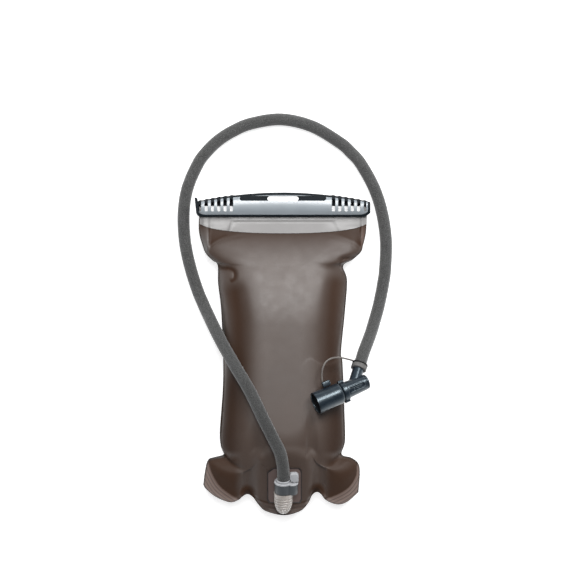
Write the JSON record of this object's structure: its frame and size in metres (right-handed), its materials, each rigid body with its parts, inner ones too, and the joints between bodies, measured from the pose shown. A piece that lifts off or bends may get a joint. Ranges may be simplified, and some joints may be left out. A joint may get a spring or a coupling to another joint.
{
  "type": "hydration bladder",
  "caption": "Soft film water bladder with slide-bar closure, quick-connect port, insulated drinking hose and capped bite valve.",
  "frame": {"origin": "centre of the bag and bar's footprint, on the surface that the bladder's back rests on", "axes": "+X to the right of the front face, +Y from the port towards the slide bar, +Z out of the front face"},
  "size_m": [0.2483, 0.4629, 0.0823],
  "materials": {
    "bag_film": "satin smoky brown translucent film",
    "collar_film": "satin translucent grey film",
    "rail_white": "smooth white",
    "bar_channel": "satin dark navy grey",
    "bar_cover": "satin light blue grey",
    "port_clear": "cloudy translucent",
    "port_dark": "satin dark grey",
    "port_silver": "satin silver grey",
    "hose_sleeve": "tight knit sleeve over foam",
    "hose_collar": "matt ribbed",
    "valve_dark": "gloss dark blue grey",
    "bite_silicone": "soft matt",
    "seal_rubber": "black",
    "tether_cord": "smooth flexible",
    "spring_steel": "drawn wire"
  },
  "bodies": {
    "bag": {"bag_front_film": "bag_film", "bag_back_film": "bag_film", "collar_front": "collar_film", "collar_back": "collar_film", "mouth_fold": "bag_film", "rail_front": "rail_white", "rail_back": "rail_white", "port_patch": "bag_film", "port_flange": "port_clear", "port_elbow": "port_clear", "port_socket": "port_dark", "latch_plate": "port_silver", "button_spring": "spring_steel"},
    "slider": {"slider_cover": "bar_cover", "slider_channel": "bar_channel"},
    "button": {"release_button": "port_silver"},
    "hose": {"hose_plug": "port_clear", "plug_seal": "seal_rubber", "plug_ring": "port_silver", "drinking_hose": "hose_sleeve", "hose_end_collar": "hose_collar", "valve_elbow": "valve_dark", "elbow_end_cap": "valve_dark", "valve_seal": "seal_rubber", "cap_tether": "tether_cord", "tether_loop": "tether_cord"},
    "shutoff": {"shutoff_ring": "valve_dark", "bite_nozzle": "bite_silicone"},
    "cap": {"dust_cap": "valve_dark", "cap_lug": "valve_dark"}
  },
  "joints": [
    {"name": "slider_slide", "type": "slide", "parent": "bag", "child": "slider", "axis": [-1, 0, 0], "range_m": [0, 0.2]},
    {"name": "button_press", "type": "slide", "parent": "bag", "child": "button", "axis": [0, -0.9205, -0.3907], "range_m": [0, 0.0015], "stiffness_N_per_m": 400, "springref_m": -0.001, "deforming": ["button_spring"]},
    {"name": "hose_release", "type": "slide", "parent": "bag", "child": "hose", "axis": [0, 0.9205, 0.3907], "range_m": [0, 0.013]},
    {"name": "shutoff_twist", "type": "hinge", "parent": "hose", "child": "shutoff", "pos_m": [0.0958, -0.0304, 0.052], "axis": [-0.8885, -0.3682, 0.2739], "range_deg": [0, 90]},
    {"name": "cap_pull", "type": "slide", "parent": "hose", "child": "cap", "axis": [-0.8885, -0.3682, 0.2739], "range_m": [0, 0.028], "deforming": ["cap_tether"]}
  ]
}
